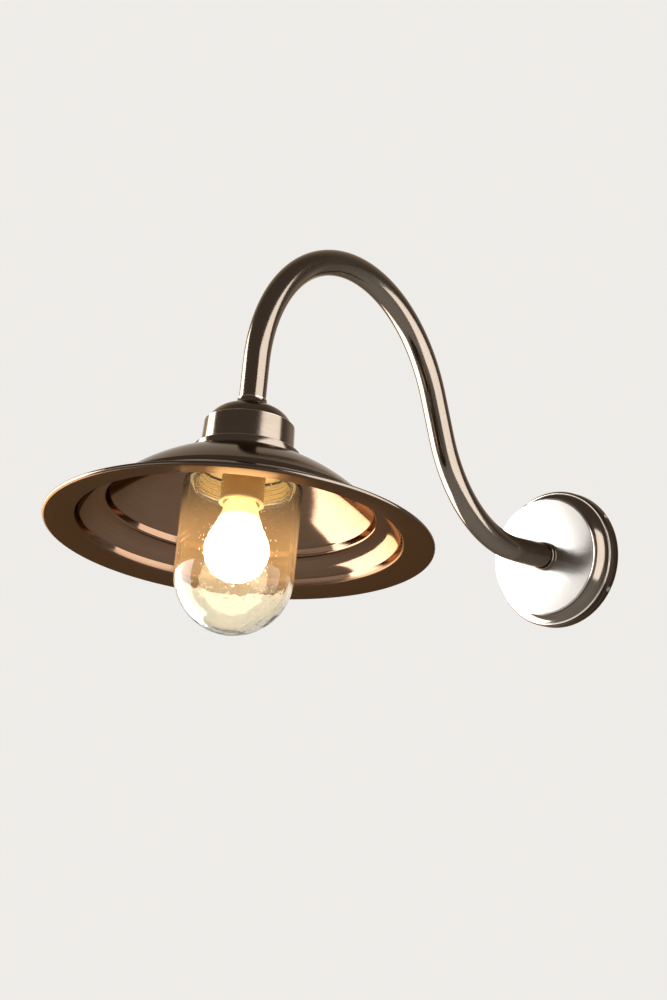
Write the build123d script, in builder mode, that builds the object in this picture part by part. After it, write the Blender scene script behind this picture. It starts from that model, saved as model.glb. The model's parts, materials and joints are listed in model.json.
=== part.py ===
from build123d import *
from math import cos, pi, radians, sin
import os

# Gooseneck wall light: a turned wall plate, a bent tube, a stepped shade and a screwed glass dome.
# Origin at the centre of the plate's back, on the wall. -Y points into the room, +Z up.

# ---- Wall plate: radii, and depths measured out from the wall ----
base_radius = 69.5
base_depth = 10.6
bead_inset = 1.6
bead_depth = 13.0
bead_round = 0.9
bead_width = 1.5
cove_width = 8.2
cove_sagitta = 2.6
cove_land = 1.0
cup_depth = 28.0
cup_wall = 3.0
cup_top_wall = 2.0
face_overhang = 1.4
face_thickness = 3.0
face_round = 1.4

# ---- Mounting disc, gasket and small parts behind the plate ----
disc_gap = 4.5
disc_thickness = 2.0
disc_rim_depth = 9.0
cable_hole_radius = 9.0
slot_spacing = 90.0
slot_width = 5.5
slot_length = 14.0
gasket_depth = 3.5
gasket_clearance = 0.2
side_screw_angles = (32, 148, 212, 328)
side_screw_depth = 6.2
side_screw_radius = 1.9
side_head_radius = 2.6
side_head_height = 1.3
earth_screw_height = 30.0
earth_screw_length = 6.0
earth_screw_radius = 1.9
earth_head_radius = 3.6
earth_head_height = 2.2
block_width = 32.0
block_height = 12.0
block_depth = 14.0
block_drop = 20.0
block_pitch = 9.5
block_screw_radius = 2.0
block_screw_recess = 1.0
block_slot_width = 0.6
block_slot_depth = 0.8
block_chamfer = 1.0

# ---- Arm: one tube bent in the plane X = 0 ----
tube_radius = 12.5
tube_wall = 1.5
wall_run = 52.3
rise_radius = 136.5
rise_angle = 71.4
slope_run = 43.5
crest_radius = 151.6
shade_tilt = 10.8
shade_run = 44.2

# ---- Threaded fixing tubes, nuts and cable ----
stud_radius = 5.0
stud_bore_radius = 3.5
thread_clearance = 0.05
hole_clearance = 0.2
bush_length = 18.0
stud_grip = 14.0
wall_stud_inside = 12.0
washer_radius = 14.0
washer_thickness = 1.6
nut_flats = 17.0
nut_thickness = 5.0
cable_radius = 3.0
cable_bend_radius = 7.0

# ---- Ferrule and collar round the tube ----
fit_clearance = 0.1
ferrule_width = 1.8
ferrule_length = 5.0
ferrule_round = 1.0
collar_top_width = 1.2
collar_foot_width = 4.5
collar_height = 8.5
collar_land = 1.0
collar_sagitta = 0.8

# ---- Shade: spun sheet, heights along its axis from the plane of the rim ----
sheet = 1.2
rim_radius = 180.0
wire_radius = 0.85
wire_clearance = 0.3
curl_angle = 270.0
lip_width = 28.9
lip_edge_height = 3.6
step_width = 26.7
step_edge_height = 23.5
wall_rise = 6.5
wall_inset = 2.0
lower_dome_sagitta = 3.2
upper_dome_sagitta = 4.0
edge_round = 1.4
shoulder_round = 4.0
neck_radius = 54.0
neck_hole_radius = 41.0

# ---- Gallery and dome cap, same heights ----
gallery_foot_height = 72.5
foot_radius = 51.0
foot_taper = 1.2
foot_thickness = 8.5
foot_round = 1.6
foot_ledge = 6.6
band_taper = 1.4
band_height = 35.5
band_round = 1.2
gallery_wall = 3.2
web_rise = 23.5
web_thickness = 3.0
cap_seat_depth = 2.0
cap_inset = 2.6
cap_sheet = 2.0
cap_rise = 16.5
cap_land = 1.0
cap_top_radius = 17.5
cap_sagitta = 3.6
boss_pitch_radius = 35.2
boss_radius = 4.5
boss_count = 3
screw_hole_spare = 1.0

# ---- Glass carrier and glass dome ----
carrier_plate = 2.4
carrier_inset = 0.2
carrier_wall = 2.2
carrier_skirt = 20.5
carrier_hole_radius = 21.3
carrier_screw_radius = 2.0
carrier_screw_length = 12.0
carrier_head_radius = 3.6
carrier_head_height = 2.2
gasket_thickness = 2.0
gasket_gap = 0.3
glass_radius = 55.0
glass_wall = 4.0
glass_neck_clearance = 1.4
glass_neck_wall = 4.0
glass_side_length = 88.8
glass_shoulder_gap = 1.0
glass_shoulder_round = 3.0
thread_height = 1.0
thread_width = 2.4
thread_pitch = 5.0
thread_turns = 3
slot_cut = 1.0

# ---- Lampholder and bulb ----
holder_radius = 20.4
holder_body_length = 40.0
holder_depth = 30.3
holder_wall = 4.6
holder_floor = 4.0
holder_neck_radius = 9.0
holder_neck_length = 4.35
holder_round = 3.0
ring_overhang = 0.7
ring_bore_radius = 17.2
ring_height = 3.2
edison_clearance = 0.4
shell_wall = 0.6
shell_length = 26.0
edison_pitch = 3.63
edison_depth = 0.7
bulb_radius = 30.0
bulb_flank_angle = 27.6
bulb_throat_radius = 15.4
bulb_throat_rise = 42.5
bulb_neck_rise = 48.5
bulb_wall = 0.8
cap_thread_radius = 13.1
bulb_cap_length = 24.0
bulb_cap_wall = 0.5
insulator_height = 2.4
contact_radius = 4.6
contact_height = 1.4
stem_radius = 3.6
stem_tip_rise = 17.0
filament_radius = 8.5
filament_wire_radius = 0.35
contact_strip = 0.5
contact_gap = 0.3
contact_drop = 2.2
contact_reach = 8.0
contact_width = 6.0
wire_hole_radius = 1.5
shell_flange_radius = 10.0
edison_width = 2.6
cap_skirt_length = 3.5
stem_flare_drop = 7.5
filament_rise = 13.0
filament_gap = 70.0
lead_rise = 10.0
lead_radius = 0.5

# ---- Derived places: out from the wall, then up the shade's axis and down into the lampholder ----
plate_depth = cup_depth + face_thickness
bead_radius = base_radius - bead_inset
cove_foot_radius = bead_radius - bead_width
cove_top_radius = cove_foot_radius - cove_width
face_radius = cove_top_radius + face_overhang
cup_inner_radius = base_radius - cup_wall
disc_radius = cup_inner_radius - disc_gap
ferrule_radius = tube_radius + ferrule_width
collar_top_radius = tube_radius + collar_top_width
collar_foot_radius = tube_radius + collar_foot_width
lip_edge_radius = rim_radius - lip_width
step_edge_radius = lip_edge_radius - step_width
foot_top_radius = foot_radius - foot_taper
band_foot_radius = foot_top_radius - foot_ledge
band_top_radius = band_foot_radius - band_taper
cap_radius = band_top_radius - cap_inset
carrier_radius = foot_radius - carrier_inset
carrier_bore_radius = carrier_radius - carrier_wall
glass_neck_radius = carrier_bore_radius - glass_neck_clearance
ring_radius = holder_radius + ring_overhang
shell_crest_radius = cap_thread_radius + edison_clearance
bulb_neck_radius = cap_thread_radius
band_top_height = gallery_foot_height + band_height
cap_top_height = band_top_height + cap_rise
web_height = gallery_foot_height + web_rise
web_underside = web_height - web_thickness
nut_underside = web_underside - washer_thickness - nut_thickness
holder_top_height = nut_underside - thread_clearance
cap_shoulder = holder_top_height - holder_neck_length
cap_ceiling = cap_shoulder - holder_floor
holder_split_height = cap_ceiling - holder_floor
holder_mouth_height = holder_split_height - holder_body_length
contact_floor = holder_mouth_height + holder_depth
insulator_end = contact_floor - contact_strip - contact_drop - contact_gap - contact_height
cap_end = insulator_end - insulator_height
bulb_neck_height = cap_end - bulb_cap_length
bulb_centre_height = bulb_neck_height - bulb_neck_rise

wall_axis = Axis((0, 0, 0), (0, -1, 0))
wall_section = Plane(origin=(0, 0, 0), x_dir=(1, 0, 0), z_dir=(0, 0, -1))

with BuildLine(Plane.YZ) as arm_route:
    wall_straight = Line((-plate_depth, 0), (-plate_depth - wall_run, 0))
    rise = JernArc(wall_straight @ 1, wall_straight % 1, rise_radius, -rise_angle)
    slope = Line(rise @ 1, rise @ 1 + (rise % 1) * slope_run)
    crest = JernArc(slope @ 1, slope % 1, crest_radius, rise_angle + 90 - shade_tilt)
    shade_straight = Line(crest @ 1, crest @ 1 + (crest % 1) * shade_run)

tilt = radians(shade_tilt)
shade_up = Vector(0, sin(tilt), cos(tilt))
arm_end = shade_straight @ 1
rim_centre = arm_end - shade_up * cap_top_height
shade_axis = Axis(tuple(rim_centre), tuple(shade_up))
shade_section = Plane(origin=rim_centre, x_dir=(1, 0, 0), z_dir=(0, -cos(tilt), sin(tilt)))
shade_level = Plane(origin=rim_centre, x_dir=(1, 0, 0), z_dir=tuple(shade_up))


def shade_plane(height):
    """Plane across the shade's axis at a height above the rim."""
    return shade_level.offset(height)


def wall_plane(depth):
    """Plane parallel to the wall at a depth, facing the room."""
    return Plane(origin=(0, -depth, 0), x_dir=(1, 0, 0), z_dir=(0, -1, 0))


def corners(profile, *points):
    """Corners of a profile nearest to the points given, for rounding."""
    return [profile.vertices().sort_by_distance(point)[0] for point in points]


def radial_plane(angle, distance):
    """Plane square to a radius of the wall plate, at the depth of its side screws."""
    outward = (cos(radians(angle)), 0, sin(radians(angle)))
    return Plane(origin=(0, -side_screw_depth, 0), z_dir=outward).offset(distance)


# ---- Wall plate ----
with BuildPart() as mounting_disc:
    with BuildSketch(wall_plane(0)):
        Circle(disc_radius)
        Circle(cable_hole_radius, mode=Mode.SUBTRACT)
        with GridLocations(slot_spacing, 0, 2, 1):
            SlotOverall(slot_length, slot_width, mode=Mode.SUBTRACT)
    extrude(amount=disc_thickness)
    with BuildSketch(wall_plane(disc_thickness)):
        Circle(disc_radius)
        Circle(disc_radius - disc_thickness, mode=Mode.SUBTRACT)
    extrude(amount=disc_rim_depth - disc_thickness)
    with BuildSketch(wall_plane(0)):
        with Locations((0, earth_screw_height)):
            Circle(earth_screw_radius + thread_clearance)
    extrude(amount=disc_thickness, mode=Mode.SUBTRACT)
    for angle in side_screw_angles:
        with BuildSketch(radial_plane(angle, disc_radius - 2 * disc_thickness)):
            Circle(side_screw_radius + thread_clearance)
        extrude(amount=3 * disc_thickness, mode=Mode.SUBTRACT)

with BuildPart() as wall_gasket:
    with BuildSketch(wall_plane(0)):
        Circle(cup_inner_radius - gasket_clearance)
        Circle(disc_radius + gasket_clearance, mode=Mode.SUBTRACT)
    extrude(amount=gasket_depth)

with BuildPart() as backplate_cup:
    with BuildSketch(wall_section) as cup_profile:
        with BuildLine():
            outside = Polyline(
                (base_radius, 0),
                (base_radius, base_depth),
                (bead_radius, base_depth),
                (bead_radius, bead_depth),
                (cove_foot_radius, bead_depth),
            )
            cove = SagittaArc(outside @ 1, (cove_top_radius, cup_depth - cove_land), cove_sagitta)
            top = Polyline(
                cove @ 1,
                (cove_top_radius, cup_depth),
                (stud_radius + hole_clearance, cup_depth),
                (stud_radius + hole_clearance, cup_depth - cup_top_wall),
                (cove_top_radius - cup_wall, cup_depth - cup_top_wall),
            )
            inner_cove = SagittaArc(
                top @ 1, (cove_foot_radius - cup_wall, bead_depth - cup_wall), -cove_sagitta
            )
            Polyline(
                inner_cove @ 1,
                (cup_inner_radius, bead_depth - cup_wall),
                (cup_inner_radius, 0),
                (base_radius, 0),
            )
        make_face()
        fillet(
            corners(cup_profile, (base_radius, base_depth), (bead_radius, bead_depth)),
            bead_round,
        )
    revolve(axis=wall_axis)
    for angle in side_screw_angles:
        with BuildSketch(radial_plane(angle, cup_inner_radius - cup_wall)):
            Circle(side_screw_radius + thread_clearance)
        extrude(amount=3 * cup_wall, mode=Mode.SUBTRACT)

with BuildPart() as face_disc:
    with BuildSketch(wall_section) as face_profile:
        with Locations(((face_radius + stud_radius + hole_clearance) / 2, cup_depth)):
            Rectangle(
                face_radius - stud_radius - hole_clearance,
                face_thickness,
                align=(Align.CENTER, Align.MIN),
            )
        fillet(
            corners(face_profile, (face_radius, cup_depth), (face_radius, plate_depth)), face_round
        )
    revolve(axis=wall_axis)

with BuildPart() as side_screws:
    for angle in side_screw_angles:
        with BuildSketch(radial_plane(angle, disc_radius - disc_thickness)):
            Circle(side_screw_radius)
        extrude(amount=base_radius - disc_radius + disc_thickness)
        with BuildSketch(radial_plane(angle, base_radius)):
            Circle(side_head_radius)
        extrude(amount=side_head_height)

with BuildPart() as earth_screw:
    with BuildSketch(wall_plane(0)):
        with Locations((0, earth_screw_height)):
            Circle(earth_screw_radius)
    extrude(amount=disc_thickness + earth_screw_length)
    with BuildSketch(wall_plane(disc_thickness)):
        with Locations((0, earth_screw_height)):
            Circle(earth_head_radius)
    extrude(amount=earth_head_height)

with BuildPart() as terminal_block:
    with BuildSketch(wall_plane(disc_thickness)):
        with Locations((0, -block_drop)):
            Rectangle(block_width, block_height, align=(Align.CENTER, Align.MAX))
    extrude(amount=block_depth)
    with BuildSketch(wall_plane(disc_thickness + block_depth)):
        with Locations((0, -block_drop - block_height / 2)):
            with GridLocations(block_pitch, block_height / 2, 3, 2):
                Circle(block_screw_radius + thread_clearance)
    extrude(amount=-block_depth / 2, mode=Mode.SUBTRACT)
    chamfer(terminal_block.edges().filter_by(Axis.Y).filter_by(GeomType.LINE), block_chamfer)

with BuildPart() as terminal_screws:
    with BuildSketch(wall_plane(disc_thickness + block_depth / 2)):
        with Locations((0, -block_drop - block_height / 2)):
            with GridLocations(block_pitch, block_height / 2, 3, 2):
                Circle(block_screw_radius)
    extrude(amount=block_depth / 2 - block_screw_recess)
    with BuildSketch(wall_plane(disc_thickness + block_depth - block_screw_recess)):
        with Locations((0, -block_drop - block_height / 2)):
            with GridLocations(block_pitch, block_height / 2, 3, 2):
                Rectangle(2 * block_screw_radius, block_slot_width)
    extrude(amount=-block_slot_depth, mode=Mode.SUBTRACT)


def ring_profile(inner, outer, low, high):
    """Rectangular section of a ring between two radii and two heights."""
    with Locations(((inner + outer) / 2, (low + high) / 2)):
        Rectangle(outer - inner, high - low)


# ---- Fixing tube, washer and nut behind the plate, and the bush in the arm's wall end ----
with BuildPart() as wall_stud_tube:
    with BuildSketch(wall_section):
        ring_profile(
            stud_bore_radius,
            stud_radius,
            cup_depth - cup_top_wall - wall_stud_inside,
            plate_depth + stud_grip,
        )
    revolve(axis=wall_axis)

with BuildPart() as wall_bush:
    with BuildSketch(wall_section):
        ring_profile(
            stud_radius + thread_clearance,
            tube_radius - tube_wall - thread_clearance,
            plate_depth,
            plate_depth + bush_length,
        )
    revolve(axis=wall_axis)

washer_back = cup_depth - cup_top_wall - washer_thickness

with BuildPart() as wall_washer:
    with BuildSketch(wall_plane(washer_back)):
        Circle(washer_radius)
        Circle(stud_radius + hole_clearance, mode=Mode.SUBTRACT)
    extrude(amount=washer_thickness)

with BuildPart() as wall_nut:
    with BuildSketch(wall_plane(washer_back)):
        RegularPolygon(nut_flats / 2, 6, major_radius=False)
        Circle(stud_radius + thread_clearance, mode=Mode.SUBTRACT)
    extrude(amount=-nut_thickness)

with BuildPart() as arm_ferrule:
    with BuildSketch(wall_section) as ferrule_profile:
        ring_profile(
            tube_radius + fit_clearance, ferrule_radius, plate_depth, plate_depth + ferrule_length
        )
        fillet(
            corners(
                ferrule_profile,
                (ferrule_radius, plate_depth),
                (ferrule_radius, plate_depth + ferrule_length),
            ),
            ferrule_round,
        )
    revolve(axis=wall_axis)

# ---- Arm and the cable inside it ----
with BuildPart() as gooseneck_arm:
    with BuildSketch(Plane(origin=wall_straight @ 0, z_dir=wall_straight % 0)):
        Circle(tube_radius)
        Circle(tube_radius - tube_wall, mode=Mode.SUBTRACT)
    sweep(path=arm_route.wires()[0])

cable_depth = disc_thickness + block_depth / 2
cable_end = rim_centre + shade_up * cap_ceiling

with BuildPart() as supply_cable:
    with BuildLine(Plane.YZ) as cable_route:
        cable_rise = Line((-cable_depth, -block_drop), (-cable_depth, -cable_bend_radius))
        cable_bend = JernArc(cable_rise @ 1, cable_rise % 1, cable_bend_radius, 90)
        Line(cable_bend @ 1, wall_straight @ 1)
        JernArc(wall_straight @ 1, wall_straight % 1, rise_radius, -rise_angle)
        Line(slope @ 0, slope @ 1)
        JernArc(slope @ 1, slope % 1, crest_radius, rise_angle + 90 - shade_tilt)
        Line(crest @ 1, cable_end)
    with BuildSketch(Plane(origin=cable_rise @ 0, z_dir=cable_rise % 0)):
        Circle(cable_radius)
    sweep(path=cable_route.wires()[0])

# ---- Shade end: bush, fixing tube, collar and dome cap ----
with BuildPart() as shade_bush:
    with BuildSketch(shade_section):
        ring_profile(
            stud_radius + thread_clearance,
            tube_radius - tube_wall - thread_clearance,
            cap_top_height,
            cap_top_height + bush_length,
        )
    revolve(axis=shade_axis)

with BuildPart() as shade_stud_tube:
    with BuildSketch(shade_section):
        ring_profile(
            stud_bore_radius,
            stud_radius,
            cap_ceiling + thread_clearance,
            cap_top_height + stud_grip,
        )
    revolve(axis=shade_axis)

collar_top_height = cap_top_height + collar_height

with BuildPart() as neck_collar:
    with BuildSketch(shade_section):
        with BuildLine():
            foot = Polyline(
                (tube_radius + fit_clearance, cap_top_height),
                (collar_foot_radius, cap_top_height),
                (collar_foot_radius, cap_top_height + collar_land),
            )
            flare = SagittaArc(
                foot @ 1, (collar_top_radius, collar_top_height - collar_land), collar_sagitta
            )
            Polyline(
                flare @ 1,
                (collar_top_radius, collar_top_height),
                (tube_radius + fit_clearance, collar_top_height),
                (tube_radius + fit_clearance, cap_top_height),
            )
        make_face()
    revolve(axis=shade_axis)

cap_seat_height = band_top_height - cap_seat_depth

with BuildPart() as dome_cap:
    with BuildSketch(shade_section) as cap_profile:
        with BuildLine():
            crown = SagittaArc(
                (cap_radius, band_top_height + cap_land), (cap_top_radius, cap_top_height), -cap_sagitta
            )
            plug = Polyline(
                crown @ 1,
                (stud_radius + hole_clearance, cap_top_height),
                (stud_radius + hole_clearance, cap_top_height - cap_sheet),
                (cap_top_radius, cap_top_height - cap_sheet),
            )
            under_crown = SagittaArc(
                plug @ 1, (cap_radius - cap_sheet, band_top_height), cap_sagitta
            )
            Polyline(
                under_crown @ 1,
                (cap_radius - cap_sheet, cap_seat_height),
                (cap_radius, cap_seat_height),
                (cap_radius, band_top_height + cap_land),
            )
        make_face()
    revolve(axis=shade_axis)

# ---- Gallery: band with a foot, a web for the fixing tube and three screw bosses ----
screw_top = gallery_foot_height - sheet - carrier_plate + carrier_screw_length
foot_top_height = gallery_foot_height + foot_thickness

with BuildPart() as gallery:
    with BuildSketch(shade_section) as gallery_profile:
        with BuildLine():
            Polyline(
                (band_foot_radius - gallery_wall, gallery_foot_height),
                (foot_radius, gallery_foot_height),
                (foot_top_radius, foot_top_height),
                (band_foot_radius, foot_top_height),
                (band_top_radius, band_top_height),
                (cap_radius + fit_clearance, band_top_height),
                (cap_radius + fit_clearance, cap_seat_height),
                (band_foot_radius - gallery_wall - cap_sheet, cap_seat_height),
                (band_foot_radius - gallery_wall - cap_sheet, web_height),
                (stud_radius + hole_clearance, web_height),
                (stud_radius + hole_clearance, web_underside),
                (band_foot_radius - gallery_wall, web_underside),
                close=True,
            )
        make_face()
        fillet(corners(gallery_profile, (foot_top_radius, foot_top_height)), foot_round)
        fillet(corners(gallery_profile, (band_foot_radius, foot_top_height)), foot_round)
        fillet(corners(gallery_profile, (band_top_radius, band_top_height)), band_round)
    revolve(axis=shade_axis)
    with BuildSketch(shade_plane(gallery_foot_height)):
        with PolarLocations(boss_pitch_radius, boss_count):
            Circle(boss_radius)
    extrude(amount=web_underside - gallery_foot_height)
    with BuildSketch(shade_plane(gallery_foot_height)):
        with PolarLocations(boss_pitch_radius, boss_count):
            Circle(carrier_screw_radius + thread_clearance)
    extrude(amount=screw_top - gallery_foot_height + screw_hole_spare, mode=Mode.SUBTRACT)

with BuildPart() as gallery_washer:
    with BuildSketch(shade_plane(web_underside)):
        Circle(washer_radius)
        Circle(stud_radius + hole_clearance, mode=Mode.SUBTRACT)
    extrude(amount=-washer_thickness)

with BuildPart() as gallery_nut:
    with BuildSketch(shade_plane(web_underside - washer_thickness)):
        RegularPolygon(nut_flats / 2, 6, major_radius=False)
        Circle(stud_radius + thread_clearance, mode=Mode.SUBTRACT)
    extrude(amount=-nut_thickness)

# ---- Shade: one sheet traced along its middle line, with the rim rolled round a wire ----
curl_radius = wire_radius + wire_clearance + sheet / 2
curl_start_radius = rim_radius - curl_radius - sheet / 2
neck_line_height = gallery_foot_height - sheet / 2
lip_line_height = lip_edge_height + sheet / 2
step_line_height = step_edge_height + sheet / 2

with BuildPart() as shade:
    with BuildSketch(shade_section):
        with BuildLine() as sheet_line:
            neck = Line((neck_hole_radius, neck_line_height), (neck_radius, neck_line_height))
            upper_dome = SagittaArc(
                neck @ 1,
                (step_edge_radius - wall_inset, step_line_height + wall_rise),
                upper_dome_sagitta,
            )
            upper_wall = Line(upper_dome @ 1, (step_edge_radius, step_line_height))
            lower_dome = SagittaArc(
                upper_wall @ 1,
                (lip_edge_radius - wall_inset, lip_line_height + wall_rise),
                lower_dome_sagitta,
            )
            lower_wall = Line(lower_dome @ 1, (lip_edge_radius, lip_line_height))
            lip = Line(lower_wall @ 1, (curl_start_radius, sheet / 2))
            curl = JernArc(lip @ 1, lip % 1, curl_radius, curl_angle)
            bends = [
                (neck @ 1, shoulder_round),
                (upper_dome @ 1, shoulder_round),
                (upper_wall @ 1, edge_round),
                (lower_dome @ 1, shoulder_round / 2),
                (lower_wall @ 1, edge_round),
            ]
            for place, radius in bends:
                fillet(sheet_line.vertices().sort_by_distance(place)[0], radius)
        trace(line_width=sheet)
    revolve(axis=shade_axis)

with BuildPart() as rim_wire:
    with BuildSketch(shade_section):
        with Locations(curl.arc_center):
            Circle(wire_radius)
    revolve(axis=shade_axis)

# ---- Glass carrier, its screws, the gasket and the glass ----
carrier_top = gallery_foot_height - sheet
carrier_ceiling = carrier_top - carrier_plate
carrier_mouth = carrier_top - carrier_skirt
gasket_underside = carrier_ceiling - gasket_thickness
neck_top = gasket_underside - gasket_gap
shoulder_height = carrier_mouth - glass_shoulder_gap
glass_centre_height = shoulder_height - glass_side_length
first_thread = carrier_mouth + thread_width
thread_heights = [first_thread + thread_pitch * turn for turn in range(thread_turns)]

with BuildPart() as glass_carrier:
    with BuildSketch(shade_section):
        ring_profile(carrier_hole_radius, carrier_radius, carrier_ceiling, carrier_top)
        ring_profile(carrier_bore_radius, carrier_radius, carrier_mouth, carrier_ceiling)
        with Locations([(carrier_bore_radius, height) for height in thread_heights]):
            Ellipse(thread_height, thread_width / 2, mode=Mode.SUBTRACT)
    revolve(axis=shade_axis)
    with BuildSketch(shade_plane(carrier_ceiling)):
        with PolarLocations(boss_pitch_radius, boss_count):
            Circle(carrier_screw_radius + hole_clearance)
    extrude(amount=carrier_plate, mode=Mode.SUBTRACT)

with BuildPart() as carrier_screws:
    with BuildSketch(shade_plane(carrier_ceiling)):
        with PolarLocations(boss_pitch_radius, boss_count):
            Circle(carrier_screw_radius)
    extrude(amount=carrier_screw_length)
    with BuildSketch(shade_plane(carrier_ceiling)):
        with PolarLocations(boss_pitch_radius, boss_count):
            Circle(carrier_head_radius)
    extrude(amount=-carrier_head_height)
    with BuildSketch(shade_plane(carrier_ceiling - carrier_head_height)):
        with PolarLocations(boss_pitch_radius, boss_count):
            Rectangle(2 * carrier_head_radius, slot_cut)
    extrude(amount=slot_cut, mode=Mode.SUBTRACT)

with BuildPart() as glass_gasket:
    with BuildSketch(shade_section):
        ring_profile(
            glass_neck_radius - glass_neck_wall,
            glass_neck_radius,
            gasket_underside,
            carrier_ceiling,
        )
    revolve(axis=shade_axis)

with BuildPart() as glass_dome:
    with BuildSketch(shade_section) as glass_profile:
        with BuildLine():
            bowl = JernArc(
                (0, glass_centre_height - glass_radius), (1, 0), glass_radius, 90
            )
            side = Polyline(
                bowl @ 1,
                (glass_radius, shoulder_height),
                (glass_neck_radius, shoulder_height),
                (glass_neck_radius, neck_top),
                (glass_neck_radius - glass_neck_wall, neck_top),
                (glass_neck_radius - glass_neck_wall, shoulder_height - glass_wall),
                (glass_radius - glass_wall, shoulder_height - glass_wall),
                (glass_radius - glass_wall, glass_centre_height),
            )
            inner_bowl = JernArc(side @ 1, (0, -1), glass_radius - glass_wall, -90)
            Line(inner_bowl @ 1, bowl @ 0)
        make_face()
        with Locations([(glass_neck_radius, height) for height in thread_heights]):
            Ellipse(thread_height, thread_width / 2)
        shoulder_corners = corners(
            glass_profile,
            (glass_radius, shoulder_height),
            (glass_neck_radius - glass_neck_wall, shoulder_height - glass_wall),
        )
        fillet(shoulder_corners, glass_shoulder_round)
    revolve(axis=shade_axis)

# ---- Lampholder ----
bore_radius = holder_radius - holder_wall
shell_bottom = holder_mouth_height + ring_height / 2
shell_outer = shell_crest_radius + shell_wall

with BuildPart() as holder_body:
    with BuildSketch(shade_section):
        ring_profile(bore_radius, holder_radius, holder_mouth_height, holder_split_height)
        ring_profile(0, holder_radius, contact_floor, contact_floor + holder_floor)
    revolve(axis=shade_axis)
    with BuildSketch(shade_plane(contact_floor)):
        with GridLocations(holder_radius, 0, 2, 1):
            Circle(wire_hole_radius)
    extrude(amount=holder_floor, mode=Mode.SUBTRACT)

with BuildPart() as holder_cap:
    with BuildSketch(shade_section) as holder_cap_profile:
        with BuildLine():
            Polyline(
                (bore_radius, holder_split_height),
                (holder_radius, holder_split_height),
                (holder_radius, cap_shoulder),
                (holder_neck_radius, cap_shoulder),
                (holder_neck_radius, holder_top_height),
                (stud_radius + thread_clearance, holder_top_height),
                (stud_radius + thread_clearance, cap_ceiling),
                (bore_radius, cap_ceiling),
                close=True,
            )
        make_face()
        fillet(corners(holder_cap_profile, (holder_radius, cap_shoulder)), holder_round)
    revolve(axis=shade_axis)

with BuildPart() as holder_shell:
    with BuildSketch(shade_section):
        ring_profile(shell_crest_radius, shell_outer, shell_bottom, contact_floor)
        ring_profile(shell_flange_radius, shell_outer, contact_floor - shell_wall, contact_floor)
        turns = range(1, int((contact_floor - shell_bottom) / edison_pitch))
        shell_threads = [contact_floor - edison_pitch * turn for turn in turns]
        with Locations([(shell_outer, height) for height in shell_threads]):
            Ellipse(edison_depth, edison_width / 2)
        with Locations([(shell_crest_radius, height) for height in shell_threads]):
            Ellipse(edison_depth, edison_width / 2 - shell_wall / 2, mode=Mode.SUBTRACT)
    revolve(axis=shade_axis)

with BuildPart() as holder_contact:
    with BuildSketch(shade_section):
        with BuildLine() as contact_line:
            strip_top = contact_floor - contact_strip / 2
            strip_low = strip_top - contact_drop
            Polyline(
                (contact_reach, strip_top),
                (contact_reach / 2, strip_top),
                (contact_reach / 4, strip_low),
                (-contact_reach / 2, strip_low),
            )
            fillet(contact_line.vertices().sort_by(Axis.X)[1:3], contact_strip)
        trace(line_width=contact_strip)
    extrude(amount=contact_width / 2, both=True)

with BuildPart() as holder_ring:
    with BuildSketch(shade_section) as ring_outline:
        ring_low = holder_mouth_height - ring_height
        ring_profile(ring_bore_radius, ring_radius, ring_low, holder_mouth_height)
        fillet(corners(ring_outline, (ring_radius, ring_low)), ring_height / 3)
        fillet(corners(ring_outline, (ring_bore_radius, ring_low)), ring_height / 3)
    revolve(axis=shade_axis)

# ---- Bulb ----
bulb_throat_height = bulb_centre_height + bulb_throat_rise
wall_line_radius = bulb_radius - bulb_wall / 2

with BuildPart() as bulb_glass:
    with BuildSketch(shade_section):
        with BuildLine():
            globe = JernArc(
                (0, bulb_centre_height - wall_line_radius),
                (1, 0),
                wall_line_radius,
                90 + bulb_flank_angle,
            )
            throat = TangentArc(
                globe @ 1, (bulb_throat_radius, bulb_throat_height), tangent=globe % 1
            )
            TangentArc(
                throat @ 1,
                (bulb_neck_radius - bulb_wall / 2, bulb_neck_height - bulb_wall / 2),
                tangent=throat % 1,
            )
        trace(line_width=bulb_wall)
    revolve(axis=shade_axis)

cap_root_radius = cap_thread_radius - edison_depth
cap_inner = cap_root_radius - bulb_cap_wall
cap_skirt_top = bulb_neck_height + cap_skirt_length

with BuildPart() as bulb_cap:
    with BuildSketch(shade_section):
        ring_profile(cap_inner, cap_root_radius, bulb_neck_height, cap_end)
        ring_profile(cap_root_radius, cap_thread_radius, bulb_neck_height, cap_skirt_top)
        ring_profile(contact_radius, cap_root_radius, cap_end - bulb_cap_wall, cap_end)
        turns = range(1, int((cap_end - cap_skirt_top) / edison_pitch))
        cap_threads = [cap_end - edison_pitch * turn for turn in turns]
        with Locations([(cap_root_radius, height) for height in cap_threads]):
            Ellipse(edison_depth, edison_width / 2)
        with Locations([(cap_inner, height) for height in cap_threads]):
            Ellipse(edison_depth, edison_width / 2 - bulb_cap_wall / 2, mode=Mode.SUBTRACT)
    revolve(axis=shade_axis)

with BuildPart() as bulb_insulator:
    with BuildSketch(shade_section):
        with BuildLine():
            Polyline(
                (0, cap_end),
                (cap_root_radius - insulator_height, cap_end),
                (contact_radius + thread_clearance, insulator_end),
                (0, insulator_end),
                close=True,
            )
        make_face()
    revolve(axis=shade_axis)

with BuildPart() as bulb_contact:
    with BuildSketch(shade_section) as contact_profile:
        ring_profile(0, contact_radius, insulator_end, insulator_end + contact_height)
        contact_edge = (contact_radius, insulator_end + contact_height)
        fillet(corners(contact_profile, contact_edge), contact_height / 2)
    revolve(axis=shade_axis)

flare_radius = bulb_neck_radius - bulb_wall - thread_clearance
stem_flare_height = bulb_neck_height - stem_flare_drop
stem_tip_height = bulb_centre_height + stem_tip_rise

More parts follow.
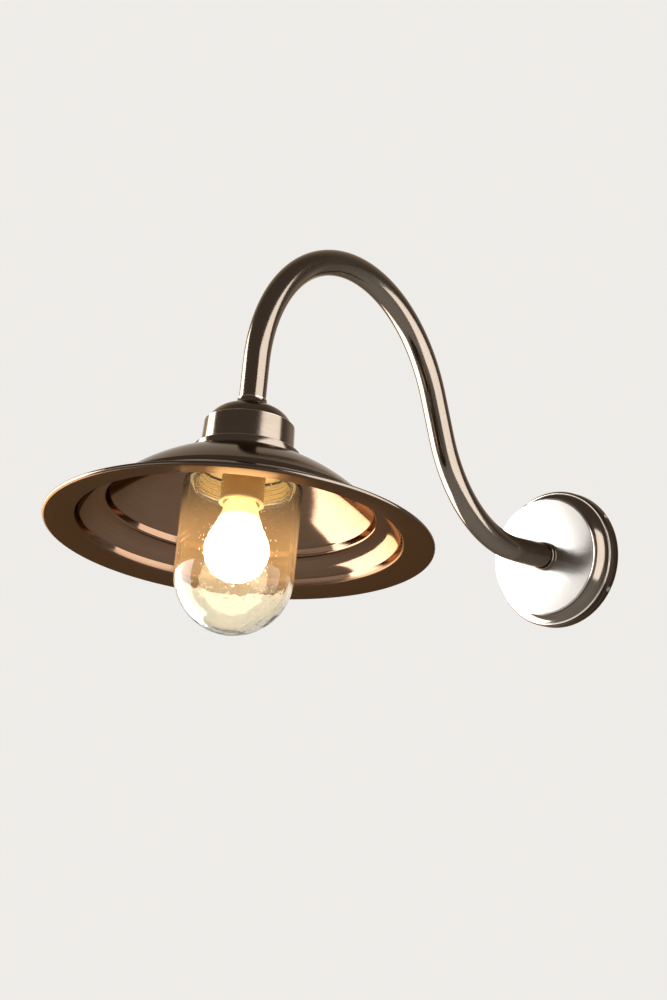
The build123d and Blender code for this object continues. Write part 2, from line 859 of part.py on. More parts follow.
with BuildPart() as bulb_stem:
    with BuildSketch(shade_section) as stem_profile:
        with BuildLine():
            Polyline(
                (0, bulb_neck_height),
                (flare_radius, bulb_neck_height),
                (flare_radius, bulb_neck_height - bulb_wall),
                (stem_radius, stem_flare_height),
                (stem_radius, stem_tip_height),
                (0, stem_tip_height),
                close=True,
            )
        make_face()
        fillet(corners(stem_profile, (stem_radius, stem_flare_height)), 2 * stem_radius)
        fillet(corners(stem_profile, (stem_radius, stem_tip_height)), stem_radius / 2)
    revolve(axis=shade_axis)

lead_run = filament_radius - stem_radius - lead_radius
filament_height = bulb_centre_height + filament_rise

with BuildPart() as bulb_filament:
    filament_level = shade_plane(filament_height)
    with BuildLine(filament_level) as filament_line:
        hoop = CenterArc(
            (0, 0), filament_radius, filament_gap / 2, 360 - filament_gap
        )
    with BuildSketch(Plane(origin=hoop @ 0, z_dir=hoop % 0)):
        Circle(filament_wire_radius)
    sweep(path=filament_line.wires()[0])
    for place in (hoop @ 0, hoop @ 1):
        inward = (rim_centre + shade_up * filament_height - place).normalized()
        foot = place + inward * lead_run + shade_up * lead_rise
        with BuildLine() as lead_line:
            lead = Line(place, foot)
        with BuildSketch(Plane(origin=place, z_dir=lead % 0)):
            Circle(lead_radius)
        sweep(path=lead_line.wires()[0])

# ---- One file for each piece ----
pieces = {
    "mounting_disc": mounting_disc,
    "wall_gasket": wall_gasket,
    "backplate_cup": backplate_cup,
    "face_disc": face_disc,
    "side_screws": side_screws,
    "earth_screw": earth_screw,
    "terminal_block": terminal_block,
    "terminal_screws": terminal_screws,
    "wall_bush": wall_bush,
    "wall_stud_tube": wall_stud_tube,
    "wall_washer": wall_washer,
    "wall_nut": wall_nut,
    "arm_ferrule": arm_ferrule,
    "gooseneck_arm": gooseneck_arm,
    "supply_cable": supply_cable,
    "shade_bush": shade_bush,
    "shade_stud_tube": shade_stud_tube,
    "neck_collar": neck_collar,
    "dome_cap": dome_cap,
    "gallery": gallery,
    "gallery_washer": gallery_washer,
    "gallery_nut": gallery_nut,
    "shade": shade,
    "rim_wire": rim_wire,
    "glass_carrier": glass_carrier,
    "carrier_screws": carrier_screws,
    "glass_gasket": glass_gasket,
    "glass_dome": glass_dome,
    "holder_cap": holder_cap,
    "holder_body": holder_body,
    "holder_shell": holder_shell,
    "holder_contact": holder_contact,
    "holder_ring": holder_ring,
    "bulb_glass": bulb_glass,
    "bulb_cap": bulb_cap,
    "bulb_insulator": bulb_insulator,
    "bulb_contact": bulb_contact,
    "bulb_stem": bulb_stem,
    "bulb_filament": bulb_filament,
}

os.makedirs("parts", exist_ok=True)
for name, piece in pieces.items():
    piece.part.label = name
    export_step(piece.part, f"parts/{name}.step")

arm_area = pi * (tube_radius**2 - (tube_radius - tube_wall) ** 2)
arm_length = arm_route.wires()[0].length
print("arm volume", gooseneck_arm.part.volume, "section times length", arm_area * arm_length)
print("rim centre", rim_centre, "shade axis", shade_up)
print("bulb end to contact strip", contact_gap, "glass neck top", neck_top)
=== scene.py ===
import bpy
import bmesh
import json
from math import asin, atan2, cos, pi, radians, sin, tan
from mathutils import Matrix, Vector


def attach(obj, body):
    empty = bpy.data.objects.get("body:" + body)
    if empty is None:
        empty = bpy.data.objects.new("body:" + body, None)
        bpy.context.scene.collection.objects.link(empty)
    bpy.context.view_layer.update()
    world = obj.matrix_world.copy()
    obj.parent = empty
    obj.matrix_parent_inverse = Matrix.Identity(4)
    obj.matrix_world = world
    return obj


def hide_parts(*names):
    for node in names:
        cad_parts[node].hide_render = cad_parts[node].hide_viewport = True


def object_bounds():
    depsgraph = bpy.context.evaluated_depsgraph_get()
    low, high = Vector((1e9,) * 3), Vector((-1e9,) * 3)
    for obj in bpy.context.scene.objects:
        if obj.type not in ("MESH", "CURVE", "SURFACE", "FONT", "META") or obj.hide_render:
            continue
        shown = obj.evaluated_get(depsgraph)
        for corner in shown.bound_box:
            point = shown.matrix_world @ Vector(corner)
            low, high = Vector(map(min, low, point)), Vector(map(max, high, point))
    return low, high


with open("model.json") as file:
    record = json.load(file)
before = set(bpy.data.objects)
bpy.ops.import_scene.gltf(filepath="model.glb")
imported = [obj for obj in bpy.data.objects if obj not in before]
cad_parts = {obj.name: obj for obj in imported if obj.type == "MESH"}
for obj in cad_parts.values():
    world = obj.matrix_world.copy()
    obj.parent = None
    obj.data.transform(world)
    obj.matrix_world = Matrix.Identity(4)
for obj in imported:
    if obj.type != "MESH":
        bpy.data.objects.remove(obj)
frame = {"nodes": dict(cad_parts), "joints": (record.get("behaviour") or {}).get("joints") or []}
cadBox = [list(corner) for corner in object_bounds()]
nodes = frame["nodes"]

# The shade's own axis comes from the glass's joint, with its origin in the plane of the rim. Pieces
# of the wall plate are turned with their height running out from the wall.
glassJoint = next(joint for joint in frame["joints"] if joint["name"] == "glass_turn")
rimCentre = Vector(glassJoint["pos_m"])
shadeUp = -Vector(glassJoint["axis"]).normalized()
shadeTilt = atan2(shadeUp.y, shadeUp.z)
shadePlace = Matrix.Translation(rimCentre) @ Matrix.Rotation(-shadeTilt, 4, "X")
wallPlace = Matrix.Rotation(pi / 2, 4, "X")


# Camera

viewpoint = {
    "place": (2.20087, -3.50979, -0.73900),
    "azimuth": radians(35.28),
    "rise": radians(11.03),
    "roll": radians(-1.06),
    "sensor": 36.0,
    "lens": 148.06,
}


def addCamera(s):
    ahead = Vector((
        -sin(s["azimuth"]) * cos(s["rise"]),
        cos(s["azimuth"]) * cos(s["rise"]),
        sin(s["rise"]),
    ))
    level = Vector((cos(s["azimuth"]), sin(s["azimuth"]), 0))
    above = level.cross(ahead)
    right = cos(s["roll"]) * level + sin(s["roll"]) * above
    up = -sin(s["roll"]) * level + cos(s["roll"]) * above
    camera = bpy.data.objects.new("camera", bpy.data.cameras.new("camera"))
    camera.data.sensor_width = s["sensor"]
    camera.data.sensor_fit = "AUTO"
    camera.data.lens = s["lens"]
    turn = Matrix((right, up, -ahead)).transposed()
    camera.matrix_world = Matrix.Translation(s["place"]) @ turn.to_4x4()
    bpy.context.collection.objects.link(camera)
    bpy.context.scene.camera = camera
    print("camera placed")


addCamera(viewpoint)


# Shader maths

class Wire:  # a node's output that sums can be written with
    def __init__(self, sheet, socket):
        self.sheet = sheet
        self.socket = socket

    def maths(self, operation, *values):
        return self.sheet.node("Math", {"operation": operation}, dict(enumerate(values)))

    def __add__(self, other):
        return self.maths("ADD", self, other)

    def __sub__(self, other):
        return self.maths("SUBTRACT", self, other)

    def __rsub__(self, other):
        return self.maths("SUBTRACT", other, self)

    def __mul__(self, other):
        return self.maths("MULTIPLY", self, other)

    def __truediv__(self, other):
        return self.maths("DIVIDE", self, other)

    def __pow__(self, other):
        return self.maths("POWER", self, other)

    __radd__ = __add__
    __rmul__ = __mul__

    def most(self, other):
        return self.maths("MAXIMUM", self, other)

    def size(self):
        return self.maths("ABSOLUTE", self)

    def step(self, low, high):  # 0 below low, 1 above high, smooth between
        smooth = {"interpolation_type": "SMOOTHSTEP"}
        return self.sheet.node("MapRange", smooth, {0: self, 1: low, 2: high})


class Sheet:  # the nodes of one material or of the world
    def __init__(self, tree):
        self.tree = tree
        tree.nodes.clear()

    def node(self, kind, settings=None, inputs=None, out=0):
        made = self.tree.nodes.new("ShaderNode" + kind)
        for name, value in (settings or {}).items():
            setattr(made, name, value)
        for name, value in (inputs or {}).items():
            if isinstance(value, Wire):
                self.tree.links.new(value.socket, made.inputs[name])
            elif isinstance(value, (tuple, list)) and len(made.inputs[name].default_value) == 4:
                made.inputs[name].default_value = (*value, 1)[:4]
            else:
                made.inputs[name].default_value = value
        return Wire(self, made.outputs[out]) if made.outputs else None

    def blend(self, amount, first, second):  # colours
        return self.node("Mix", {"data_type": "RGBA"}, {0: amount, 6: first, 7: second}, 2)

    def noise(self, where, scale, detail, roughness=0.5):
        return self.node("TexNoise", None, {
            "Vector": where, "Scale": scale, "Detail": detail, "Roughness": roughness,
        })

    def place(self, spot=None):  # object coordinates, or those turned to a piece's own axis
        here = self.node("TexCoord", None, None, "Object")
        if spot is None:
            return here
        turn = {"Vector": here, "Location": spot.to_translation(), "Rotation": spot.to_euler()}
        return self.node("Mapping", {"vector_type": "TEXTURE"}, turn)

    def parts(self, vector):
        split = self.node("SeparateXYZ", None, {0: vector})
        return [Wire(self, output) for output in split.socket.node.outputs]

    def join(self, x, y, z):
        return self.node("CombineXYZ", None, {0: x, 1: y, 2: z})

    def ringed(self, spot):  # radius, height and angle about a piece's own axis
        x, y, height = self.parts(self.place(spot))
        radius = (x * x + y * y) ** 0.5
        return radius, height, y.maths("ARCTAN2", y, x)

    def seen(self):  # 1 for rays from the camera, straight or through glass
        return self.node("LightPath", None, None, "Is Camera Ray").most(
            self.node("LightPath", None, None, "Is Transmission Ray")
        )

    def bump(self, height, strength, distance):
        return self.node("Bump", None, {
            "Height": height, "Strength": strength, "Distance": distance,
        })


def newFinish(name):
    material = bpy.data.materials.new(name)
    material.use_nodes = True
    return material, Sheet(material.node_tree)


def surface(sheet, inputs):
    sheet.node("OutputMaterial", None, {"Surface": sheet.node("BsdfPrincipled", None, inputs)})


# Metal finishes

silver = {
    "light": (0.26, 0.22, 0.18),
    "dark": (0.165, 0.13, 0.10),
    "patinaAndShade": (0.05, 0.034, 0.024),
    "rubbedHighlights": (0.80, 0.74, 0.66),
    "edge": (0.72, 0.62, 0.52),
    "lines": 1900.0,
    "roughness": 0.13,
    "clouds": 0.25,
}
# the shade's underside: the silver coloured darker and brown, a painted warm reflection and shade
paintedUnderside = {
    "light": (0.26, 0.160, 0.105),
    "dark": (0.16, 0.090, 0.054),
    "patinaAndShade": (0.12, 0.068, 0.040),
    "edge": (0.60, 0.50, 0.42),
    "lines": 1500.0,
    "roughness": 0.07,
    "clouds": 0.35,
}
# the face's silver: satin, and far paler than the rest to paint its bright reflection
paintedLitFace = {
    "light": (0.70, 0.685, 0.665),
    "dark": (0.61, 0.595, 0.575),
    "patinaAndShade": (0.45, 0.40, 0.35),
    "edge": (0.98, 0.97, 0.95),
    "lines": 2600.0,
    "roughness": 0.18,
    "clouds": 0.2,
}
shadeTop = {
    **silver, "light": (0.235, 0.195, 0.158), "dark": (0.145, 0.116, 0.090),
    "edge": (0.64, 0.57, 0.51), "roughness": 0.10,
}
# painted bulb light: silver made gold and bright, with a glow, for the glass carrier and the
# holder's ring
paintedBulbLight = {
    **silver, "light": (0.95, 0.80, 0.55), "dark": (0.80, 0.64, 0.40), "roughness": 0.45,
    "glow": (0.26, 0.17, 0.075),
}
lathe = {  # what all turned metals share
    "ringTurn": 1.5, "broadLines": 260, "broadTurn": 0.5, "ringDetail": 2.0,
    "cloudScale": 26.0, "cloudDetail": 5.0, "cloudRoughness": 0.62,
    "speckScale": 900.0, "speckDetail": 1.0, "speckEdge": (0.72, 0.80), "speckWeight": 0.3,
    "share": 0.5, "tone": 0.6, "shadedBandEdge": (0.2, 1.0), "highlightEdge": (0.4, 1.0),
    "ringRough": 0.06, "grimeRough": 0.20, "toneRough": 0.04, "roughStart": 0.03,
    "bump": 0.06, "bumpDepth": 0.0004,
}
drawn = {  # the bent tube
    "cloudScale": 20.0, "cloudDetail": 5.0, "cloudRoughness": 0.6,
    "grainScale": 420.0, "grainDetail": 4.0,
    "pitScale": 1300.0, "pitDetail": 1.0, "pitEdge": (0.71, 0.78), "pitWeight": 0.4,
    "share": 0.5, "tone": 0.55, "grainRough": 0.10, "toneRough": 0.05, "roughStart": 0.06,
    "bump": 0.05, "bumpDepth": 0.0004, "bumpGrain": 0.8, "bumpCloud": 0.2,
}
small = {  # plated small parts
    "grainScale": 700.0, "grainDetail": 3.0, "cloudScale": 90.0, "cloudDetail": 3.0,
    "cloudEdge": (0.3, 0.75), "dull": 0.62, "grainRough": 0.2, "bump": 0.12, "bumpDepth": 0.0003,
}
moulded = {  # plastics, rubber and glaze
    "grainScale": 500.0, "grainDetail": 3.0, "cloudScale": 60.0, "cloudDetail": 4.0,
    "cloudEdge": (0.3, 0.72), "dull": 0.8, "grainRough": 0.16, "coatRoughness": 0.12,
    "bump": 0.15, "bumpDepth": 0.0003,
}


# Polished on the lathe: fine rings, bands (from, to) of painted shade at creases, grooves and
# joints, and painted highlight lines on rubbed edges (height, reach).
def turnedMetal(name, spot, s, shadedBands=(), rubbedHighlights=()):
    material, sheet = newFinish(name)
    radius, height, angle = sheet.ringed(spot)
    where, lines, broadLines = sheet.place(spot), s["lines"], lathe["broadLines"]
    around = sheet.join(radius * lines, height * lines, angle * lathe["ringTurn"])
    rings = sheet.noise(around, 1.0, lathe["ringDetail"])
    around = sheet.join(radius * broadLines, height * broadLines, angle * lathe["broadTurn"])
    broad = sheet.noise(around, 1.0, lathe["ringDetail"])
    clouds = sheet.noise(where, lathe["cloudScale"], lathe["cloudDetail"], lathe["cloudRoughness"])
    specks = sheet.noise(where, lathe["speckScale"], lathe["speckDetail"]).step(*lathe["speckEdge"])
    tone = (
        (clouds - 0.5) * s["clouds"] + (broad - 0.5) * lathe["share"]
        + (rings - 0.5) * lathe["share"] + lathe["tone"]
    )
    grimeAndShade = specks * lathe["speckWeight"]
    # painted shade: each band fades to the patina colour, as creases, grooves and joints are shaded
    for low, high in shadedBands:
        middle, reach = (low + high) / 2, (high - low) / 2
        grimeAndShade = grimeAndShade.most(1 - ((height - middle).size() / reach).step(*lathe["shadedBandEdge"]))
    colour = sheet.blend(grimeAndShade, sheet.blend(tone, s["dark"], s["light"]), s["patinaAndShade"])
    # painted highlight: paler metal along each edge line, standing in for the light the edges catch
    # and their rubbing
    for edge, reach in rubbedHighlights:
        highlightShare = 1 - ((height - edge).size() / reach).step(*lathe["highlightEdge"])
        colour = sheet.blend(highlightShare, colour, s["rubbedHighlights"])
    surface(sheet, {
        "Base Color": colour,
        # a painted glow of bulb light, where a finish gives one
        "Emission Color": s.get("glow", (0, 0, 0)),
        "Emission Strength": 1.0,
        "Metallic": 1.0,
        "Specular Tint": s["edge"],
        "Roughness": (
            rings * lathe["ringRough"] + grimeAndShade * lathe["grimeRough"]
            + (1 - tone) * lathe["toneRough"] + (s["roughness"] - lathe["roughStart"])
        ),
        "Normal": sheet.bump(rings, lathe["bump"], lathe["bumpDepth"]),
    })
    return material


def bentMetal(name, s):  # drawn tube: polished, with fine grain, soft clouds and small pits
    material, sheet = newFinish(name)
    where = sheet.place()
    clouds = sheet.noise(where, drawn["cloudScale"], drawn["cloudDetail"], drawn["cloudRoughness"])
    grain = sheet.noise(where, drawn["grainScale"], drawn["grainDetail"])
    pits = sheet.noise(where, drawn["pitScale"], drawn["pitDetail"]).step(*drawn["pitEdge"])
    tone = (clouds - 0.5) * s["clouds"] + (grain - 0.5) * drawn["share"] + drawn["tone"]
    clean = sheet.blend(tone, s["dark"], s["light"])
    relief = grain * drawn["bumpGrain"] + clouds * drawn["bumpCloud"]
    surface(sheet, {
        "Base Color": sheet.blend(pits * drawn["pitWeight"], clean, s["patinaAndShade"]),
        "Metallic": 1.0,
        "Specular Tint": s["edge"],
        "Roughness": (
            grain * drawn["grainRough"] + (1 - tone) * drawn["toneRough"]
            + (s["roughness"] - drawn["roughStart"])
        ),
        "Normal": sheet.bump(relief, drawn["bump"], drawn["bumpDepth"]),
    })
    return material


def plainMetal(name, colour, roughness):  # small parts: plated, with soft dull clouds
    material, sheet = newFinish(name)
    where = sheet.place()
    grain = sheet.noise(where, small["grainScale"], small["grainDetail"])
    clouds = sheet.noise(where, small["cloudScale"], small["cloudDetail"]).step(*small["cloudEdge"])
    dull = tuple(part * small["dull"] for part in colour)
    surface(sheet, {
        "Base Color": sheet.blend(clouds, dull, colour),
        "Metallic": 1.0,
        "Roughness": grain * small["grainRough"] + (roughness - small["grainRough"] / 2),
        "Normal": sheet.bump(grain, small["bump"], small["bumpDepth"]),
    })
    return material


def plainSolid(name, colour, roughness, coat=0.0, glow=(0, 0, 0)):  # moulded parts, fine grained
    material, sheet = newFinish(name)
    where = sheet.place()
    grain = sheet.noise(where, moulded["grainScale"], moulded["grainDetail"])
    clouds = sheet.noise(where, moulded["cloudScale"], moulded["cloudDetail"])
    clouds = clouds.step(*moulded["cloudEdge"])
    dull = tuple(part * moulded["dull"] for part in colour)
    surface(sheet, {
        "Base Color": sheet.blend(clouds, dull, colour),
        "Roughness": grain * moulded["grainRough"] + (roughness - moulded["grainRough"] / 2),
        # glow: painted light on the piece, where given
        "Emission Color": glow,
        "Emission Strength": 1.0,
        "Coat Weight": coat,
        "Coat Roughness": moulded["coatRoughness"],
        "Normal": sheet.bump(grain, moulded["bump"], moulded["bumpDepth"]),
    })
    return material


# Glass finishes

clearGlass = {
    "tint": (0.965, 0.93, 0.80), "ior": 1.4, "level": 0.35,
    # glow, glowHeight and glowReach: painted bulb light in the glass
    "glow": (0.15, 0.080, 0.030), "glowHeight": -0.015, "glowReach": 0.062,
    "streakTurn": 2.2, "streakLines": 9, "streakScale": 2.0, "streakDetail": 2.0,
    "streakWeight": 0.7,
    "rippleScale": 38.0, "rippleDetail": 2.0, "ripple": 0.5, "rippleLow": 3.6,
    "low": (0.045, 0.085),
    "seedScale": 330.0, "seedEdge": (0.74, 0.80), "seedRough": 0.25, "seedWeight": 0.3,
    "bump": 0.3, "bumpDepth": 0.0012,
}


# Thick pressed glass: long streaks, seeds, a ripple that grows below and a painted glow of bulb
# light round the bulb's height. Light for the shade and shadows goes straight through.
def domeGlass(name, s):
    material, sheet = newFinish(name)
    radius, height, angle = sheet.ringed(shadePlace)
    where, lines = sheet.place(shadePlace), s["streakLines"]
    along = sheet.join(angle * s["streakTurn"], height * lines, radius * lines)
    streaks = sheet.noise(along, s["streakScale"], s["streakDetail"])
    ripple = sheet.noise(where, s["rippleScale"], s["rippleDetail"])
    seeds = sheet.noise(where, s["seedScale"], 0.0).step(*s["seedEdge"])
    low = (height * -1).step(*s["low"])
    # painted bulb light: a warm glow round the bulb's height
    paintedGlow = 1 - ((height - s["glowHeight"]).size() / s["glowReach"]).step(0.0, 1.0)
    relief = (
        streaks * s["streakWeight"] + ripple * (low * s["rippleLow"] + s["ripple"])
        + seeds * s["seedWeight"]
    )
    glass = sheet.node("BsdfPrincipled", None, {
        "Base Color": s["tint"],
        "Emission Color": sheet.blend(paintedGlow, (0, 0, 0), s["glow"]),
        "Emission Strength": 1.0,
        "Specular IOR Level": s["level"],
        "Roughness": seeds * s["seedRough"],
        "Transmission Weight": 1.0,
        "IOR": s["ior"],
        "Normal": sheet.bump(relief, s["bump"], s["bumpDepth"]),
    })
    clear = sheet.node("BsdfTransparent", None, {"Color": s["tint"]})
    unseen = sheet.node("LightPath", None, None, "Is Shadow Ray").most(
        sheet.node("LightPath", None, None, "Is Diffuse Ray")
    )
    shown = sheet.node("MixShader", None, {0: unseen, 1: glass, 2: clear})
    sheet.node("OutputMaterial", None, {"Surface": shown})
    return material


bulbLight = {
    "globe": (1.0, 0.86, 0.62), "neck": (0.090, 0.060, 0.024), "strength": 8.0,
    "neckFrom": 0.000, "neckTo": 0.020, "neckAlpha": 0.9,
    "cloudScale": 60.0, "cloudDetail": 2.0, "cloudEdge": (0.2, 0.8),
    "dull": (0.93, 0.90, 0.84), "frost": (0.97, 0.95, 0.91),
    "cloudRough": 0.1, "roughness": 0.25,
}
# the stem shines with painted light standing in for the filament's
stemLight = {
    **bulbLight, "globe": (1.0, 0.84, 0.55), "neck": (1.0, 0.78, 0.45),
    "strength": 1.5, "neckAlpha": 1.0,
}


def litGlass(name, s):  # frosted glass that shines in the globe and is dim and thin in the neck
    material, sheet = newFinish(name)
    height = sheet.ringed(shadePlace)[1]
    neck = height.step(s["neckFrom"], s["neckTo"])
    cloud = sheet.noise(sheet.place(shadePlace), s["cloudScale"], s["cloudDetail"])
    cloud = cloud.step(*s["cloudEdge"])
    surface(sheet, {
        "Base Color": sheet.blend(cloud, s["dull"], s["frost"]),
        "Roughness": cloud * s["cloudRough"] + s["roughness"],
        "Alpha": 1 - neck * (1 - s["neckAlpha"]),
        "Emission Color": sheet.blend(neck, s["globe"], s["neck"]),
        "Emission Strength": s["strength"],
    })
    return material


# Turned shapes

shaping = {"cornerFrom": radians(18), "sharpFrom": radians(32), "near": 1e-6}


class Outline:  # half of a turned piece's section, drawn with a pen: x is the radius, z the height
    def __init__(self, radius, height):
        self.bm = bmesh.new()
        self.tip = self.first = bmesh.ops.create_vert(self.bm, co=(radius, 0, height))["vert"][0]

    def line(self, *points):
        for radius, height in points:
            grown = bmesh.ops.extrude_vert_indiv(self.bm, verts=[self.tip])["verts"][0]
            bmesh.ops.translate(self.bm, verts=[grown], vec=Vector((radius, 0, height)) - grown.co)
            self.tip = grown
        return self

    def arc(self, radius, height, bulge, steps):  # bulges left of the pen's way, or right below 0
        chord = Vector((radius, 0, height)) - self.tip.co
        half = chord.length / 2
        reach = (half * half + bulge * bulge) / (2 * abs(bulge))
        side = 1 if bulge > 0 else -1
        right = Vector((chord.z, 0, -chord.x)).normalized() * side
        centre = self.tip.co + chord / 2 + right * (reach - abs(bulge))
        turn = 2 * asin(min(1, half / reach))
        if abs(bulge) > half:
            turn = 2 * pi - turn
        spun = bmesh.ops.spin(
            self.bm, geom=[self.tip], cent=centre, axis=(0, 1, 0), angle=turn * side, steps=steps
        )
        self.tip = spun["geom_last"][0]
        return self

    def close(self):
        bmesh.ops.contextual_create(self.bm, geom=[self.tip, self.first])
        return self

    def soften(self, size, segments):  # rounds every real corner
        corners = []
        for vert in self.bm.verts:
            if len(vert.link_edges) == 2 and vert.co.x > shaping["near"]:
                ways = [edge.other_vert(vert).co - vert.co for edge in vert.link_edges]
                if pi - ways[0].angle(ways[1]) > shaping["cornerFrom"]:
                    corners.append(vert)
        bmesh.ops.bevel(
            self.bm, geom=corners, offset=size, affect="VERTICES", segments=segments,
            profile=0.5, material=-1, clamp_overlap=True,
        )
        return self

    def turned(self, name, place, steps, wall=0.0):  # the finished piece
        bm = self.bm
        bmesh.ops.spin(
            bm, geom=bm.verts[:] + bm.edges[:], cent=(0, 0, 0), axis=(0, 0, 1),
            angle=2 * pi, steps=steps, use_merge=True,
        )
        bmesh.ops.remove_doubles(bm, verts=bm.verts[:], dist=shaping["near"])
        bmesh.ops.recalc_face_normals(bm, faces=bm.faces[:])
        bmesh.ops.transform(bm, matrix=place, verts=bm.verts[:])
        return newPiece(name, bm, wall)


def newPiece(name, bm, wall=0.0, offset=0.0):
    mesh = bpy.data.meshes.new(name)
    bm.to_mesh(mesh)
    bm.free()
    piece = bpy.data.objects.new(name, mesh)
    bpy.context.collection.objects.link(piece)
    if wall:
        thick = piece.modifiers.new("wall", "SOLIDIFY")
        thick.thickness = wall
        thick.offset = offset
        thick.use_even_offset = True
        view = bpy.context.evaluated_depsgraph_get()
        piece.data = bpy.data.meshes.new_from_object(piece.evaluated_get(view))
        piece.modifiers.clear()
        bpy.data.meshes.remove(mesh)
    piece.data.shade_smooth()
    piece.data.set_sharp_from_angle(angle=shaping["sharpFrom"])
    return piece


def dress(piece, node, body, slot, *materials):
    piece.data.materials.clear()
    for material in materials:
        piece.data.materials.append(material)
    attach(piece, body)
    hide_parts(node)


# Wall plate

plate = {
    "base": 0.0695, "baseDepth": 0.0106, "bead": 0.0679, "beadDepth": 0.0130,
    "coveFoot": 0.0664, "coveTop": 0.0582, "coveSagitta": 0.0026, "coveLand": 0.001,
    "depth": 0.028, "wall": 0.003, "topWall": 0.002, "hole": 0.0052,
    "arcSteps": 24, "soft": (0.0005, 4), "steps": 256,  # soft: a corner's size and segments
}


def makeCup(s, material):
    inner = s["base"] - s["wall"]
    underTop = s["depth"] - s["topWall"]
    outline = Outline(s["base"], 0).line(
        (s["base"], s["baseDepth"]),
        (s["bead"], s["baseDepth"]),
        (s["bead"], s["beadDepth"]),
        (s["coveFoot"], s["beadDepth"]),
    )
    outline.arc(s["coveTop"], s["depth"] - s["coveLand"], s["coveSagitta"], s["arcSteps"])
    outline.line((s["coveTop"], s["depth"]), (s["hole"], s["depth"]), (s["hole"], underTop))
    outline.line((s["coveTop"] - s["wall"], underTop))
    underBead = s["beadDepth"] - s["wall"]
    outline.arc(s["coveFoot"] - s["wall"], underBead, -s["coveSagitta"], s["arcSteps"])
    outline.line((inner, underBead), (inner, 0)).close().soften(*s["soft"])
    piece = outline.turned("wallCup", wallPlace, s["steps"])
    dress(piece, "backplate_cup", "fixture", "antique_silver", material)
    print("wall cup turned")


face = {"radius": 0.0596, "thickness": 0.003, "hole": 0.0052, "soft": (0.0014, 6), "steps": 256}


def makeFace(s, cup, material):
    top = cup["depth"] + s["thickness"]
    outline = Outline(s["hole"], cup["depth"]).line(
        (s["radius"], cup["depth"]), (s["radius"], top), (s["hole"], top)
    )
    piece = outline.close().soften(*s["soft"]).turned("wallFace", wallPlace, s["steps"])
    dress(piece, "face_disc", "fixture", "antique_silver", material)
    print("wall face turned")


# Arm

arm = {
    "radius": 0.0125, "wall": 0.0015, "run": 0.0523,
    "riseRadius": 0.1365, "riseAngle": radians(71.4), "slope": 0.0435,
    "crestRadius": 0.1516, "shadeRun": 0.0442, "sides": 96, "degreesPerRing": 1.5,
    "wallSide": -1.0,  # the wall grows inwards
}


def makeArm(s, start, material):
    bm = bmesh.new()
    bmesh.ops.create_circle(bm, segments=s["sides"], radius=s["radius"])
    upright = Matrix.Rotation(pi / 2, 3, "X")
    bmesh.ops.rotate(bm, verts=bm.verts[:], cent=(0, 0, 0), matrix=upright)
    bmesh.ops.translate(bm, verts=bm.verts[:], vec=(0, -start, 0))
    place, heading, ring = Vector((0, -start, 0)), pi, bm.edges[:]
    runs = [  # (length, 0) is straight, (radius, angle) is a bend
        (s["run"], 0), (s["riseRadius"], -s["riseAngle"]), (s["slope"], 0),
        (s["crestRadius"], s["riseAngle"] + pi / 2 - shadeTilt), (s["shadeRun"], 0),
    ]
    for length, turn in runs:
        ahead = Vector((0, cos(heading), sin(heading)))
        if not turn:
            grown = bmesh.ops.extrude_edge_only(bm, edges=ring)["geom"]
            verts = [part for part in grown if isinstance(part, bmesh.types.BMVert)]
            bmesh.ops.translate(bm, verts=verts, vec=ahead * length)
            place = place + ahead * length
        else:
            side = 1 if turn > 0 else -1
            centre = place + Vector((0, -ahead.z, ahead.y)) * length * side
            steps = round(abs(turn) / radians(s["degreesPerRing"]))
            grown = bmesh.ops.spin(
                bm, geom=ring, cent=centre, axis=(1, 0, 0), angle=turn, steps=steps
            )["geom_last"]
            place = centre + Matrix.Rotation(turn, 3, "X") @ (place - centre)
            heading += turn
        ring = [part for part in grown if isinstance(part, bmesh.types.BMEdge)]
    bmesh.ops.recalc_face_normals(bm, faces=bm.faces[:])
    piece = newPiece("arm", bm, s["wall"], s["wallSide"])
    dress(piece, "gooseneck_arm", "fixture", "antique_silver", material)
    print("arm bent, its end at", [round(part, 4) for part in place])


# Ferrule and collar round the tube's ends, and the domed cap

ferrule = {
    "bore": 0.0126, "radius": 0.0143, "length": 0.005, "soft": (0.001, 5), "steps": 128,
}


def makeFerrule(s, start, material):
    end = start + s["length"]
    outline = Outline(s["bore"], start).line(
        (s["radius"], start), (s["radius"], end), (s["bore"], end)
    )
    piece = outline.close().soften(*s["soft"]).turned("ferrule", wallPlace, s["steps"])
    dress(piece, "arm_ferrule", "fixture", "antique_silver", material)
    print("ferrule turned")


collar = {
    "bore": 0.0126, "foot": 0.017, "top": 0.0137, "height": 0.0085, "land": 0.001,
    "sagitta": 0.0008, "arcSteps": 12, "soft": (0.0003, 3), "steps": 128,
}


def makeCollar(s, foot, material):
    top = foot + s["height"]
    outline = Outline(s["bore"], foot).line((s["foot"], foot), (s["foot"], foot + s["land"]))
    outline.arc(s["top"], top - s["land"], s["sagitta"], s["arcSteps"])
    outline.line((s["top"], top), (s["bore"], top)).close().soften(*s["soft"])
    piece = outline.turned("neckCollar", shadePlace, s["steps"])
    dress(piece, "neck_collar", "fixture", "antique_silver", material)
    print("collar turned")


cap = {
    "seat": 0.106, "bandTop": 0.108, "land": 0.001, "radius": 0.0392, "top": 0.1245,
    "topRadius": 0.0175, "sagitta": 0.0036, "sheet": 0.002, "hole": 0.0052,
    "arcSteps": 24, "soft": (0.0003, 3), "steps": 192,
}


